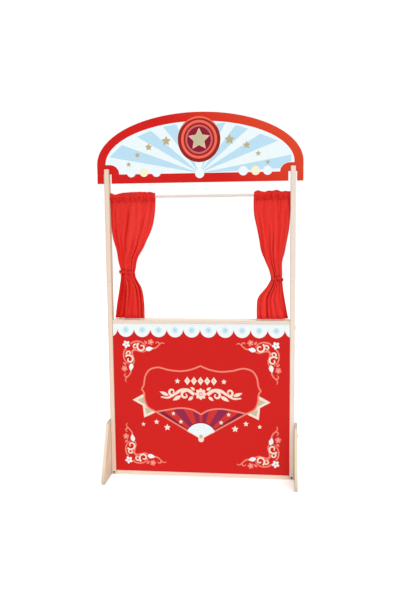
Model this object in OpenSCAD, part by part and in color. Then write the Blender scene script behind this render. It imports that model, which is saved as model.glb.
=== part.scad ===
/* [Frame] */
// Clear width between the two posts
frame_clear_w = 581; // [450:1:750]
// Gap between the ground and the underside of the frame, which the feet bridge
foot_lift = 2; // [1:0.5:6]
// Width of a post, seen from the front
post_w = 16; // [15:0.5:26]
// Depth of a post, front to back
post_d = 24; // [22:0.5:34]
// Radius of the long edges of a post
post_edge_r = 3; // [1:0.5:4]
// Radius of the edges at the tip of an upper post
post_tip_r = 2; // [0.5:0.25:3]
// Length of a lower post
lower_post_h = 654; // [600:1:750]
// Length of an upper post
upper_post_h = 364; // [300:1:450]
// Diameter of the dowel that joins an upper post to its lower post
post_dowel_d = 8; // [6:0.5:9]
// Length of the dowel that joins an upper post to its lower post
post_dowel_l = 60; // [40:1:80]

/* [Panel] */
// Thickness of the front panel
panel_t = 6; // [4:0.5:8]
// Distance from the front of the posts back to the front of the panel
panel_recess = 2; // [1:0.5:4]
// Depth of the grooves that hold the panel
groove_depth = 5; // [3:0.5:5]
// Height of the bottom rail
bottom_rail_h = 14; // [12:0.5:24]
// Radius of the lower front edge of the bottom rail
rail_edge_r = 4; // [1:0.5:5]

/* [Stage shelf] */
// Height of the top of the shelf above the ground
shelf_top_z = 529; // [450:1:560]
// Thickness of the shelf
shelf_t = 9; // [6:0.5:14]
// Depth of the shelf, front to back
shelf_d = 58; // [45:1:90]
// Radius of the corners at the back of the shelf
shelf_corner_r = 8; // [2:1:15]
// Height of the rail under the shelf
shelf_rail_h = 24; // [20:1:40]

/* [Feet] */
// Thickness of a foot board
foot_t = 9; // [6:0.5:15]
// Height of a foot board
foot_h = 186; // [150:1:260]
// Length of a foot on the ground
foot_base_l = 240; // [180:1:300]
// Length of a foot along its top edge
foot_top_l = 64; // [50:1:140]
// Radius of the upper corners of a foot
foot_top_r = 18; // [2:1:20]
// Radius of the lower corners of a foot
foot_toe_r = 14; // [4:0.5:20]
// Height of the lower bolt of a foot above the ground
foot_bolt_low_z = 48; // [32:1:60]
// Height of the upper bolt of a foot above the ground
foot_bolt_high_z = 148; // [100:1:160]

/* [Header board] */
// Distance that each end of the header board reaches past its post
header_overhang = 23.5; // [15:0.5:100]
// Thickness of the header board
header_t = 9; // [6:0.5:10]
// Height of the straight sides of the header board
header_side_h = 60; // [45:1:100]
// Rise of the arch above the straight sides
header_rise = 159; // [100:1:220]
// Width of the slot that straddles a post
notch_w = 27; // [20:0.5:30]
// Height of the slot that straddles a post
notch_h = 30; // [20:1:40]
// Offset of a slot's middle from its post's middle, toward the centre
notch_shift = 1.5; // [0:0.25:1.75]
// Depth of the kerf in the top of each post
kerf_h = 16; // [10:1:30]
// Clearance on each side of the header board in a kerf
kerf_clearance = 0.3; // [0.2:0.1:0.8]

/* [Curtain rod] */
// Diameter of the curtain rod
rod_d = 8; // [6:0.5:12]
// Distance from the seat of the header board down to the middle of the rod
rod_drop = 73; // [60:1:110]
// Depth of the sockets that hold the ends of the rod
rod_socket_depth = 8; // [5:0.5:10]
// Clearance between the rod's end and the bottom of its socket
rod_end_clearance = 0.5; // [0.2:0.1:0.8]

/* [Curtains] */
// Clearance between a curtain and the wood beside or inside it
curtain_clearance = 0.3; // [0.2:0.1:0.8]
// Height of the frill above the middle of the rod
frill_h = 13; // [9:0.5:20]
// Thickness of the gathered frill
frill_t = 9; // [5:0.5:12]
// Thickness of the cloth around the rod
pocket_wall = 3; // [2:0.5:6]
// Gap between the hem and the top of the shelf
hem_gap = 7; // [3:0.5:20]
// Width of the left curtain at the rod
left_top_w = 149; // [110:1:180]
// Width of the left curtain at its tie
left_waist_w = 46; // [30:1:70]
// Width of the left curtain at its hem
left_hem_w = 96; // [60:1:130]
// Height of the left tie above the hem
left_waist_h = 152; // [110:1:190]
// Width of the right curtain at the rod
right_top_w = 114; // [90:1:180]
// Width of the right curtain at its tie
right_waist_w = 31; // [24:1:60]
// Width of the right curtain at its hem
right_hem_w = 98; // [60:1:130]
// Height of the right tie above the hem
right_waist_h = 131; // [110:1:190]
// Distance from a post to the outer edge of a curtain at its tie
waist_in = 28; // [15:1:40]
// Distance from a post to the outer edge of a curtain at its hem
hem_in = 8.5; // [2:0.5:20]
// Depth of a curtain, front to back, below the rod
curtain_top_d = 20; // [16:1:30]
// Depth of a curtain, front to back, half way to the tie
curtain_mid_d = 34; // [20:1:50]
// Depth of a curtain, front to back, at the tie
curtain_waist_d = 26; // [16:1:40]
// Depth of a curtain, front to back, at the hem
curtain_hem_d = 48; // [20:1:60]
// Height of a tieback band
tie_h = 12; // [8:1:20]
// Thickness of a tieback band
tie_t = 1.6; // [1:0.2:3]
// Diameter of the knot in a tieback
tie_knot_d = 10; // [6:0.5:14]

/* [Fasteners] */
// Shank diameter of the bolts
bolt_d = 6; // [5:0.5:8]
// Head diameter of the bolts
bolt_head_d = 13; // [10:0.5:16]
// Height of a bolt head
bolt_head_h = 2.5; // [2:0.5:4]
// Width across the flats of the socket in a bolt head
bolt_socket_af = 4; // [3:0.5:5]
// Length of a foot insert
insert_l = 10; // [8:0.5:10]
// Outer diameter of a foot insert
insert_d = 9; // [8.5:0.5:12]
// Distance from the end of the shelf rail to the middle of the barrel nut
nut_inset = 28; // [20:1:40]
// Diameter of a barrel nut
nut_d = 10; // [9:0.5:12]
// Length of a barrel nut
nut_l = 12; // [9:0.5:12]
// Length of the bolts in the shelf rail
rail_bolt_l = 50; // [48:1:60]
// Shank diameter of the wood screws
screw_d = 4; // [3:0.5:5]
// Head diameter of the wood screws
screw_head_d = 7.5; // [6:0.5:9]
// Length of the screws in the lapped corners
corner_screw_l = 20; // [16:1:22]
// Length of the screws that hold the shelf
shelf_screw_l = 29; // [27:0.5:31]
// Number of screws that hold the shelf
shelf_screw_count = 3; // [2:1:5]
// Distance from the first to the last screw that holds the shelf
shelf_screw_span = 400; // [200:10:420]

/* [Hidden] */

left = -1;
right = 1;
eps = 0.01;
fit = 0.05;
bolt_hole_clearance = 0.2;
$fn = 48;

// Colours, as the object shows them
wood_front = [0.96, 0.87, 0.76];
wood_shade = [0.86, 0.74, 0.59];
print_red = [0.85, 0.16, 0.15];
cloth_red = [0.89, 0.18, 0.16];
steel = [0.62, 0.63, 0.65];
brass = [0.78, 0.64, 0.36];

// Places across the frame, measured from the middle
post_in_x = frame_clear_w / 2;
post_out_x = post_in_x + post_w;
post_mid_x = post_in_x + post_w / 2;
foot_out_x = post_out_x + foot_t;
header_out_x = post_out_x + header_overhang;
front_y = -post_d / 2;
back_y = post_d / 2;

// Heights above the ground
joint_z = foot_lift + lower_post_h;
post_top_z = joint_z + upper_post_h;
kerf_z = post_top_z - kerf_h;
rail_top_z = foot_lift + bottom_rail_h;
shelf_under_z = shelf_top_z - shelf_t;
shelf_rail_z = shelf_under_z - shelf_rail_h;
rod_z = kerf_z - rod_drop;

// Grooves for the panel
groove_clearance = 0.1;
panel_front_y = front_y + panel_recess;
panel_back_y = panel_front_y + panel_t;
panel_edge_clearance = 0.2;

// Half lap between the bottom rail and the posts
lap_y = 0;
corner_screw_z = foot_lift + bottom_rail_h / 2;
screw_head_h = (screw_head_d - screw_d) / 2;
screw_slot_w = 1;
screw_slot_depth = 0.8;

// Rail under the shelf
shelf_rail_front_y = panel_back_y + groove_clearance;
shelf_rail_mid_y = (shelf_rail_front_y + back_y) / 2;
rail_bolt_z = shelf_rail_z + shelf_rail_h / 2;
nut_x = post_in_x - nut_inset;

// Hem and ties of the curtains
hem_z = shelf_top_z + hem_gap;
pocket_r = rod_d / 2 + curtain_clearance + pocket_wall;
cloth_top_z = rod_z - rod_d / 2 - curtain_clearance - pocket_wall / 2;
curtain_out_x = post_in_x - curtain_clearance;
section_sides = 28;
upper_rings = 12;
lower_rings = 8;
waist_hold = tie_h / 2 + 2;

// Points of an arc around c, from angle a0 to angle a1
function arc(c, r, a0, a1, steps) =
    [for (i = [0:steps]) let(a = a0 + (a1 - a0) * i / steps) c + r * [cos(a), sin(a)]];

// Rectangle around the origin with round corners
function round_rect(w, d, r, steps = 6) = concat(
    arc([w / 2 - r, d / 2 - r], r, 0, 90, steps),
    arc([r - w / 2, d / 2 - r], r, 90, 180, steps),
    arc([r - w / 2, r - d / 2], r, 180, 270, steps),
    arc([w / 2 - r, r - d / 2], r, 270, 360, steps));

// Smooth step from 0 to 1, with the bend moved along by the power p
function ease(t, p) = let(s = pow(min(max(t, 0), 1), p)) s * s * (3 - 2 * s);

function mix(a, b, s) = a + (b - a) * s;

// Pan-head bolt along +X with its head's seat at the origin and its shank toward -X
module bolt(l) {
    rotate([0, -90, 0])
        cylinder(d = bolt_d, h = l);
    difference() {
        rotate([0, 90, 0])
            cylinder(d = bolt_head_d, h = bolt_head_h);
        translate([bolt_head_h / 3, 0, 0])
            rotate([0, 90, 0])
                cylinder(d = bolt_socket_af * 2 / sqrt(3), h = bolt_head_h, $fn = 6);
    }
}

// Countersunk wood screw along +Z, with the top of its head at the origin
module wood_screw(l) {
    point_h = screw_d;
    difference() {
        rotate_extrude()
            polygon([[0, 0], [screw_head_d / 2, 0], [screw_d / 2, -screw_head_h],
                     [screw_d / 2, point_h - l], [0, -l]]);
        translate([-screw_head_d, -screw_slot_w / 2, -screw_slot_depth])
            cube([2 * screw_head_d, screw_slot_w, screw_slot_depth + eps]);
    }
}

// Hole that a countersunk screw fits, along +Z from the origin down
module screw_hole(l) {
    r = screw_d / 2 + fit;
    head_r = screw_head_d / 2 + fit;
    rotate_extrude()
        polygon([[0, eps], [head_r, eps], [head_r, 0], [r, -screw_head_h],
                 [r, screw_d - l], [0, -l - fit]]);
}

module post_section() {
    polygon(round_rect(post_w, post_d, post_edge_r));
}

module lower_post(side) {
    color(wood_front)
    difference() {
        translate([side * post_mid_x, 0, foot_lift])
            linear_extrude(lower_post_h)
                post_section();
        panel_groove(side);
        // Lap for the end of the bottom rail
        translate([side * post_mid_x - post_w, lap_y, foot_lift - eps])
            cube([2 * post_w, post_d, bottom_rail_h + eps]);
        corner_screw_place(side)
            screw_hole(corner_screw_l);
        translate([side * post_mid_x, 0, joint_z - post_dowel_l / 2])
            cylinder(d = post_dowel_d + 2 * fit, h = post_dowel_l);
        for (z = [foot_bolt_low_z, foot_bolt_high_z])
            translate([side * post_out_x, 0, z])
                rotate([0, -side * 90, 0])
                    translate([0, 0, -eps])
                        cylinder(d = insert_d + 2 * fit, h = insert_l + eps);
        rail_bolt_bore(side, post_out_x + eps);
    }
}

// Groove in the inner face of a lower post, from the bottom rail to the shelf
module panel_groove(side) {
    groove_bottom_z = rail_top_z - groove_depth;
    translate([side * (post_in_x + groove_depth / 2), panel_front_y - groove_clearance, groove_bottom_z])
        translate([-groove_depth / 2 - eps, 0, 0])
            cube([groove_depth + 2 * eps, panel_t + 2 * groove_clearance, shelf_under_z - groove_bottom_z]);
}

module corner_screw_place(side) {
    translate([side * post_mid_x, front_y, corner_screw_z])
        rotate([90, 0, 0])
            children();
}

// Bore for a shelf rail bolt, from x_start in toward the middle of the frame
module rail_bolt_bore(side, x_start) {
    bore_end_x = post_out_x - rail_bolt_l - 2;
    translate([side * bore_end_x, shelf_rail_mid_y, rail_bolt_z])
        rotate([0, side * 90, 0])
            cylinder(d = bolt_d + 2 * bolt_hole_clearance, h = x_start - bore_end_x);
}

module upper_post(side) {
    color(wood_front)
    difference() {
        translate([side * post_mid_x, 0, joint_z])
            intersection() {
                linear_extrude(upper_post_h)
                    post_section();
                rotate([90, 0, 0])
                    linear_extrude(post_d, center = true)
                        tip_outline(post_w);
                rotate([90, 0, 90])
                    linear_extrude(post_w, center = true)
                        tip_outline(post_d);
            }
        // Kerf for the header board
        translate([side * post_mid_x - post_w, -header_t / 2 - kerf_clearance, kerf_z])
            cube([2 * post_w, header_t + 2 * kerf_clearance, kerf_h + eps]);
        // Socket for the curtain rod
        translate([side * (post_in_x - eps), 0, rod_z])
            rotate([0, side * 90, 0])
                cylinder(d = rod_d + 2 * fit, h = rod_socket_depth + eps);
        translate([side * post_mid_x, 0, joint_z - post_dowel_l / 2])
            cylinder(d = post_dowel_d + 2 * fit, h = post_dowel_l);
    }
}

// Outline of an upper post of width w, with round corners at the tip
module tip_outline(w) {
    polygon(concat(
        [[-w / 2, 0], [w / 2, 0]],
        arc([w / 2 - post_tip_r, upper_post_h - post_tip_r], post_tip_r, 0, 90, 6),
        arc([post_tip_r - w / 2, upper_post_h - post_tip_r], post_tip_r, 90, 180, 6)));
}

module post_dowels() {
    end_clearance = 0.5;
    color(wood_shade)
    for (side = [left, right])
        translate([side * post_mid_x, 0, joint_z - post_dowel_l / 2 + end_clearance])
            cylinder(d = post_dowel_d, h = post_dowel_l - 2 * end_clearance);
}

module front_panel() {
    panel_w = frame_clear_w + 2 * groove_depth - 2 * panel_edge_clearance;
    panel_bottom_z = rail_top_z - groove_depth + panel_edge_clearance;
    color(print_red)
        translate([-panel_w / 2, panel_front_y, panel_bottom_z])
            cube([panel_w, panel_t, shelf_under_z - panel_bottom_z]);
}

module bottom_rail() {
    color(wood_front)
    difference() {
        union() {
            // Length between the posts, with a round lower front edge
            translate([-post_in_x, 0, 0])
                rotate([90, 0, 90])
                    linear_extrude(frame_clear_w)
                        polygon(concat(
                            arc([front_y + rail_edge_r, foot_lift + rail_edge_r], rail_edge_r, 180, 270, 6),
                            [[back_y, foot_lift], [back_y, rail_top_z], [front_y, rail_top_z]]));
            // Tongues that lap behind the posts
            translate([-post_out_x, lap_y, foot_lift])
                cube([2 * post_out_x, back_y - lap_y, bottom_rail_h]);
        }
        translate([-post_in_x - eps, panel_front_y - groove_clearance, rail_top_z - groove_depth])
            cube([frame_clear_w + 2 * eps, panel_t + 2 * groove_clearance, groove_depth + eps]);
        for (side = [left, right])
            corner_screw_place(side)
                screw_hole(corner_screw_l);
    }
}

module rail_screws() {
    color(steel)
    for (side = [left, right])
        corner_screw_place(side)
            wood_screw(corner_screw_l);
}

module stage_shelf() {
    color(wood_front)
    difference() {
        translate([0, 0, shelf_under_z])
            linear_extrude(shelf_t)
                polygon(concat(
                    [[-post_in_x, front_y], [post_in_x, front_y]],
                    arc([post_in_x - shelf_corner_r, front_y + shelf_d - shelf_corner_r], shelf_corner_r, 0, 90, 8),
                    arc([shelf_corner_r - post_in_x, front_y + shelf_d - shelf_corner_r], shelf_corner_r, 90, 180, 8)));
        shelf_screw_places()
            screw_hole(shelf_screw_l);
    }
}

module shelf_screw_places() {
    for (i = [0:shelf_screw_count - 1])
        translate([shelf_screw_span * (i / (shelf_screw_count - 1) - 0.5), shelf_rail_mid_y, shelf_rail_z])
            rotate([180, 0, 0])
                children();
}

module shelf_rail() {
    color(wood_shade)
    difference() {
        translate([-post_in_x, shelf_rail_front_y, shelf_rail_z])
            cube([frame_clear_w, back_y - shelf_rail_front_y, shelf_rail_h]);
        shelf_screw_places()
            screw_hole(shelf_screw_l);
        for (side = [left, right]) {
            rail_bolt_bore(side, post_in_x + eps);
            translate([side * nut_x, back_y + eps, rail_bolt_z])
                rotate([90, 0, 0])
                    cylinder(d = nut_d + 2 * fit, h = back_y - shelf_rail_mid_y + nut_l / 2 + eps);
        }
    }
}

module rail_bolts() {
    color(steel)
    for (side = [left, right])
        translate([side * post_out_x, shelf_rail_mid_y, rail_bolt_z])
            rotate([0, 0, side == left ? 180 : 0])
                bolt(rail_bolt_l);
}

module barrel_nuts() {
    color(steel)
    for (side = [left, right])
        translate([side * nut_x, shelf_rail_mid_y, rail_bolt_z])
            difference() {
                rotate([90, 0, 0])
                    cylinder(d = nut_d, h = nut_l, center = true);
                rotate([0, 90, 0])
                    cylinder(d = bolt_d + 2 * fit, h = 2 * nut_d, center = true);
            }
}

module shelf_screws() {
    color(steel)
    shelf_screw_places()
        wood_screw(shelf_screw_l);
}

// Foot board on the outer face of a post, with its flat end on the ground
module foot(side) {
    slope = atan((foot_base_l - foot_top_l) / 2 / foot_h);
    toe_y = foot_base_l / 2 - foot_toe_r / tan(45 - slope / 2);
    top_y = foot_top_l / 2 - foot_top_r * tan(45 - slope / 2);
    color(wood_shade)
    difference() {
        translate([side > 0 ? post_out_x : -foot_out_x, 0, 0])
            rotate([90, 0, 90])
                linear_extrude(foot_t)
                    polygon(concat(
                        arc([toe_y, foot_toe_r], foot_toe_r, -90, slope, 6),
                        arc([top_y, foot_h - foot_top_r], foot_top_r, slope, 90, 8),
                        arc([-top_y, foot_h - foot_top_r], foot_top_r, 90, 180 - slope, 8),
                        arc([-toe_y, foot_toe_r], foot_toe_r, 180 - slope, 270, 6)));
        for (z = [foot_bolt_low_z, foot_bolt_high_z])
            translate([side * (post_out_x + foot_t / 2), 0, z])
                rotate([0, 90, 0])
                    cylinder(d = bolt_d + 2 * bolt_hole_clearance, h = 2 * foot_t, center = true);
    }
}

module foot_bolts() {
    tip_clearance = 1;
    color(steel)
    for (side = [left, right], z = [foot_bolt_low_z, foot_bolt_high_z])
        translate([side * foot_out_x, 0, z])
            rotate([0, 0, side == left ? 180 : 0])
                bolt(foot_t + insert_l - tip_clearance);
}

module foot_inserts() {
    color(brass)
    for (side = [left, right], z = [foot_bolt_low_z, foot_bolt_high_z])
        translate([side * (post_out_x - insert_l / 2), 0, z])
            rotate([0, 90, 0])
                difference() {
                    cylinder(d = insert_d, h = insert_l, center = true);
                    cylinder(d = bolt_d + 2 * fit, h = 2 * insert_l, center = true);
                }
}

// Arched board whose slots straddle the posts and rest on the kerfs
module header_board() {
    arch_steps = 72;
    base_z = kerf_z - notch_h;
    spring_z = base_z + header_side_h;
    arch = [for (i = [0:arch_steps]) let(a = 180 * i / arch_steps)
            [header_out_x * cos(a), spring_z + header_rise * sin(a)]];
    color(print_red)
    difference() {
        translate([0, header_t / 2, 0])
            rotate([90, 0, 0])
                linear_extrude(header_t)
                    polygon(concat([[-header_out_x, base_z], [header_out_x, base_z]], arch));
        for (side = [left, right])
            translate([side * (post_mid_x - notch_shift) - notch_w / 2, -header_t, base_z - eps])
                cube([notch_w, 2 * header_t, notch_h + eps]);
    }
}

module curtain_rod() {
    rod_l = frame_clear_w + 2 * (rod_socket_depth - rod_end_clearance);
    color(wood_shade)
        translate([-rod_l / 2, 0, rod_z])
            rotate([0, 90, 0])
                cylinder(d = rod_d, h = rod_l);
}

// Closed ring of a curtain at height z, between the distances a and b from the middle
function cloth_ring(side, z, a, b, d) =
    [for (i = [0:section_sides - 1]) let(t = 360 * i / section_sides)
        [side * ((a + b) / 2 + (b - a) / 2 * cos(t)), d / 2 * sin(t), z]];

// Distance in from the post, and width and depth, of a curtain at the part t of its upper length
function upper_ring(side, t, waist_z, top_w, waist_w) =
    let(out = curtain_out_x - waist_in * ease(t, 2),
        inner = mix(curtain_out_x - top_w, curtain_out_x - waist_in - waist_w, ease(t, 1.8)),
        d = t < 0.5 ? mix(curtain_top_d, curtain_mid_d, ease(2 * t, 1))
                    : mix(curtain_mid_d, curtain_waist_d, ease(2 * t - 1, 1)))
    cloth_ring(side, mix(cloth_top_z, waist_z + waist_hold, t), inner, out, d);

function lower_ring(side, t, waist_z, waist_w, hem_w) =
    let(out = mix(curtain_out_x - waist_in, curtain_out_x - hem_in, ease(t, 0.9)),
        inner = mix(curtain_out_x - waist_in - waist_w, curtain_out_x - hem_in - hem_w, ease(t, 0.45)),
        d = mix(curtain_waist_d, curtain_hem_d, ease(t, 0.8)))
    cloth_ring(side, mix(waist_z - waist_hold, hem_z, t), inner, out, d);

// Gathered curtain: a pocket around the rod with a frill above it, and the cloth drawn in at the tie
module curtain(side, top_w, waist_w, hem_w, waist_h) {
    waist_z = hem_z + waist_h;
    rings = concat(
        [for (i = [0:upper_rings]) upper_ring(side, i / upper_rings, waist_z, top_w, waist_w)],
        [for (i = [0:lower_rings]) lower_ring(side, i / lower_rings, waist_z, waist_w, hem_w)]);
    n = section_sides;
    last = len(rings) - 1;
    points = [for (ring = rings, p = ring) p];
    flip = side > 0;
    walls = [for (k = [0:last - 1], i = [0:n - 1]) let(j = (i + 1) % n)
             each [[k * n + i, k * n + j, (k + 1) * n + j], [k * n + i, (k + 1) * n + j, (k + 1) * n + i]]];
    top_face = [for (i = [0:n - 1]) n - 1 - i];
    hem_face = [for (i = [0:n - 1]) last * n + i];
    faces = concat([top_face, hem_face], walls);
    color(cloth_red) {
        polyhedron(points, flip ? faces : [for (f = faces) [for (i = [len(f) - 1:-1:0]) f[i]]]);
        difference() {
            translate([side > 0 ? curtain_out_x - top_w : -curtain_out_x, 0, rod_z])
                rotate([90, 0, 90])
                    linear_extrude(top_w)
                        union() {
                            circle(r = pocket_r);
                            translate([-frill_t / 2, 0])
                                square([frill_t, frill_h]);
                            translate([-frill_t / 2, -pocket_r])
                                square([frill_t, pocket_r]);
                        }
            translate([0, 0, rod_z])
                rotate([0, 90, 0])
                    cylinder(r = rod_d / 2 + curtain_clearance, h = 2 * post_out_x, center = true);
        }
    }
}

module curtain_left() {
    curtain(left, left_top_w, left_waist_w, left_hem_w, left_waist_h);
}

module curtain_right() {
    curtain(right, right_top_w, right_waist_w, right_hem_w, right_waist_h);
}

// Band around the waist of a curtain, knotted on its outer side
module tieback(side, waist_w, waist_h) {
    gap = curtain_clearance;
    mid_x = side * (curtain_out_x - waist_in - waist_w / 2);
    knot_x = side * (curtain_out_x - waist_in + gap + tie_t / 2);
    inner = [waist_w / 2 + gap, curtain_waist_d / 2 + gap];
    outer = [inner[0] + tie_t, inner[1] + tie_t];
    color(cloth_red)
    translate([0, 0, hem_z + waist_h]) {
        difference() {
            union() {
                translate([mid_x, 0, -tie_h / 2])
                    linear_extrude(tie_h)
                        oval(outer);
                translate([knot_x, 0, 0])
                    sphere(d = tie_knot_d);
            }
            translate([mid_x, 0, -tie_h])
                linear_extrude(2 * tie_h)
                    oval(inner);
        }
    }
}

// Ellipse with the half axes r
module oval(r) {
    steps = 48;
    polygon([for (i = [0:steps - 1]) [r[0] * cos(360 * i / steps), r[1] * sin(360 * i / steps)]]);
}

lower_post(left);  // lower_post_left
lower_post(right);  // lower_post_right
upper_post(left);  // upper_post_left
upper_post(right);  // upper_post_right
post_dowels();
front_panel();
bottom_rail();
rail_screws();
stage_shelf();
shelf_rail();
rail_bolts();
barrel_nuts();
shelf_screws();
foot(left);  // foot_left
foot(right);  // foot_right
foot_bolts();
foot_inserts();
header_board();
curtain_rod();
curtain_left();
curtain_right();
tieback(left, left_waist_w, left_waist_h);  // tieback_left
tieback(right, right_waist_w, right_waist_h);  // tieback_right
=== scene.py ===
import math

import bmesh
import bpy
import numpy as np
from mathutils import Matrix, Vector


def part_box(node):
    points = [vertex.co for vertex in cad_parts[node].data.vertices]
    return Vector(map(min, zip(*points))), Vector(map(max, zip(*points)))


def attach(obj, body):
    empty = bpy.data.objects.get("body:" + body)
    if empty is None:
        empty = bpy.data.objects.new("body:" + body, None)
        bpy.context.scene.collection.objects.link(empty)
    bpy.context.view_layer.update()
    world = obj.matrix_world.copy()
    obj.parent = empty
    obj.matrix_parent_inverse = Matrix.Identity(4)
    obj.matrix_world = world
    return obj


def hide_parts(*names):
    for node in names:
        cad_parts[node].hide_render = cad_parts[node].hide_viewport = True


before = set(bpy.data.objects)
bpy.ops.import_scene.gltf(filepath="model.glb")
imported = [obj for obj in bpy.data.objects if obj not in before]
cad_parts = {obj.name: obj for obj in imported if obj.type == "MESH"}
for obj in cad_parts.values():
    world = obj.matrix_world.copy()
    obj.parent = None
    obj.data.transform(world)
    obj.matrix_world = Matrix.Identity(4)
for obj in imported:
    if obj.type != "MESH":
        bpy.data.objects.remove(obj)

# Lengths in the dictionaries are in millimetres, and mm turns them into Blender's metres.
mm = 0.001
tau = 2 * math.pi
seamReach = 0.002   # points of a mesh that are nearer than this are one point
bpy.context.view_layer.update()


def boxOf(node):
    # lowest and highest corner of a CAD node, in millimetres
    low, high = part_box(node)
    return np.array(low) / mm, np.array(high) / mm


# Camera, at the photograph's viewpoint

cameraView = {
    "place": (251.5, -2137.1, 841.4),
    "turnDegrees": (83.446, 0.584, 6.607),
    "lens": 39.824,
    "sensor": 36.0,
}

cameraData = bpy.data.cameras.new("camera")
cameraData.lens = cameraView["lens"]
cameraData.sensor_width = cameraView["sensor"]
cameraData.clip_end = 60
camera = bpy.data.objects.new("camera", cameraData)
camera.location = [a * mm for a in cameraView["place"]]
camera.rotation_euler = [math.radians(a) for a in cameraView["turnDegrees"]]
bpy.context.scene.collection.objects.link(camera)
bpy.context.scene.camera = camera
print("camera placed")


# Helpers for materials and meshes

def linear(hexColour):
    # sRGB hex to the linear values that the sockets take
    srgb = np.array([int(hexColour[i:i + 2], 16) / 255 for i in (1, 3, 5)])
    rgb = np.where(srgb <= 0.04045, srgb / 12.92, ((srgb + 0.055) / 1.055) ** 2.4)
    return (*rgb.tolist(), 1.0)


def setInputs(node, inputs):
    # inputs: name or number of a socket to a value, a hex colour or another node's output
    for key, value in inputs.items():
        if isinstance(value, bpy.types.NodeSocket):
            node.id_data.links.new(value, node.inputs[key])
        else:
            node.inputs[key].default_value = linear(value) if isinstance(value, str) else value


def newMaterial(name, inputs):
    material = bpy.data.materials.new(name)
    material.use_nodes = True
    shader = material.node_tree.nodes["Principled BSDF"]
    setInputs(shader, inputs)
    return material, material.node_tree, shader


def addNode(tree, kind, inputs, out=0, **settings):
    # kind is the node's type without its ShaderNode. Gives the output out of the new node, or the node
    # itself where out is None.
    node = tree.nodes.new("ShaderNode" + kind)
    for name, value in settings.items():
        setattr(node, name, value)
    setInputs(node, inputs)
    return node if out is None else node.outputs[out]


def meshPiece(name, points, faces, materials, faceMaterial=None, uv=None, smooth=True, deep=None):
    # points (n, 3) in millimetres, faces a list of index arrays, uv one pair for each point
    mesh = bpy.data.meshes.new(name)
    mesh.from_pydata((np.asarray(points) * mm).tolist(), [], [list(map(int, f)) for f in faces])
    for material in materials:
        mesh.materials.append(material)
    mesh.polygons.foreach_set("use_smooth", [smooth] * len(mesh.polygons))
    if faceMaterial is not None:
        mesh.polygons.foreach_set("material_index", np.asarray(faceMaterial, np.int32))
    if uv is not None:
        corners = np.zeros(len(mesh.loops), np.int32)
        mesh.loops.foreach_get("vertex_index", corners)
        layer = mesh.uv_layers.new(name="flatCloth")
        layer.data.foreach_set("uv", (np.asarray(uv) * mm)[corners].astype(np.float32).ravel())
    if deep is not None:
        # painted shade in the cloth's colour at each point: 0 on a crest, 1 in a hollow
        depths = mesh.attributes.new("deep", "FLOAT", "POINT")
        depths.data.foreach_set("value", np.asarray(deep, np.float32).ravel())
    piece = bpy.data.objects.new(name, mesh)
    bpy.context.scene.collection.objects.link(piece)
    return piece


def grid(*parts):
    # arrays over rows and columns, spread over the same grid and joined point by point
    return np.stack(np.broadcast_arrays(*parts), -1)


def gridFaces(rows, columns):
    # quads of a grid whose points run along each row in turn
    i = np.arange(rows * columns).reshape(rows, columns)
    return np.stack([i[:-1, :-1], i[:-1, 1:], i[1:, 1:], i[1:, :-1]], -1).reshape(-1, 4)


def weld(piece):
    # closes the seams and poles of a grid, and points its faces outward
    work = bmesh.new()
    work.from_mesh(piece.data)
    bmesh.ops.remove_doubles(work, verts=work.verts, dist=seamReach * mm)
    bmesh.ops.recalc_face_normals(work, faces=work.faces)
    work.to_mesh(piece.data)
    work.free()


def thicken(piece, thickness):
    shell = piece.modifiers.new("thickness", "SOLIDIFY")
    shell.thickness = thickness * mm
    shell.offset = 0


def hermite(places, values, at):
    # smooth curve through the values: a cubic between each two places, with slopes from their neighbours
    places, values = np.asarray(places, float), np.asarray(values, float)
    slopes = np.gradient(values, places)
    i = np.clip(np.searchsorted(places, at) - 1, 0, len(places) - 2)
    h = places[i + 1] - places[i]
    t = np.clip((at - places[i]) / h, 0, 1)
    return ((2 * t ** 3 - 3 * t ** 2 + 1) * values[i] + (t ** 3 - 2 * t ** 2 + t) * h * slopes[i]
            + (3 * t ** 2 - 2 * t ** 3) * values[i + 1] + (t ** 3 - t ** 2) * h * slopes[i + 1])


# Wood

wood = {
    "ringSpacing": 3.4,     # growth lines on a planed softwood face
    "ringStretch": 45,      # how slowly they wander along it
    "figureLength": 330,    # size of the broad figure of a rotary-cut veneer, along and across its grain
    "figureWidth": 58,
    "figureLines": 7,       # growth lines from one crest of the figure to the next
    "fibreWidth": 0.7,      # real fibres are finer, and this is as coarse as they need to show
    "fibreLength": 26,
    "pineEdge": 3.0,        # radius of the rounded edges of the posts and rails
    "plyEdge": 1.2,         # sanded edges of the boards
    "endTone": "#c6b7a4",   # tone of the faces across the ends of the grain, which are darker
    "floorShadeTone": "#b7ad9c", "floorShadeHeight": 50, "floorShade": 0.65,  # painted shade low on the feet, darkest at the floor
    "paintedLightFrom": 1075, "paintedLightTo": 1400,   # place to the right plus height over which the header's red lacquer turns lighter and warmer: painted light
    "plies": 5,
    "roughness": (0.46, 0.6),
    "fibreRelief": 0.1,
    "waveSpan": 0.628,      # span of one band of Blender's wave texture at scale 1
}


colourMix = {"data_type": "RGBA", "out": 2}     # settings of a Mix node for colours


def grainScale(along, width, length):
    # scale of a pattern that is so wide across the grain and so long along it
    scale = [1 / (width * mm)] * 3
    scale[along] = 1 / (length * mm)
    return scale


def fibresAlong(tree, along):
    # place on the object, and fibres from 0 to 1 that run along one of its axes
    place = addNode(tree, "TexCoord", {}, out="Object")
    scale = grainScale(along, wood["fibreWidth"], wood["fibreLength"])
    scaled = addNode(tree, "Mapping", {"Vector": place, "Scale": scale})
    fibres = addNode(tree, "TexNoise", {"Vector": scaled, "Scale": 1.0, "Detail": 3.0, "Roughness": 0.6},
                     out="Fac")
    return place, fibres


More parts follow.
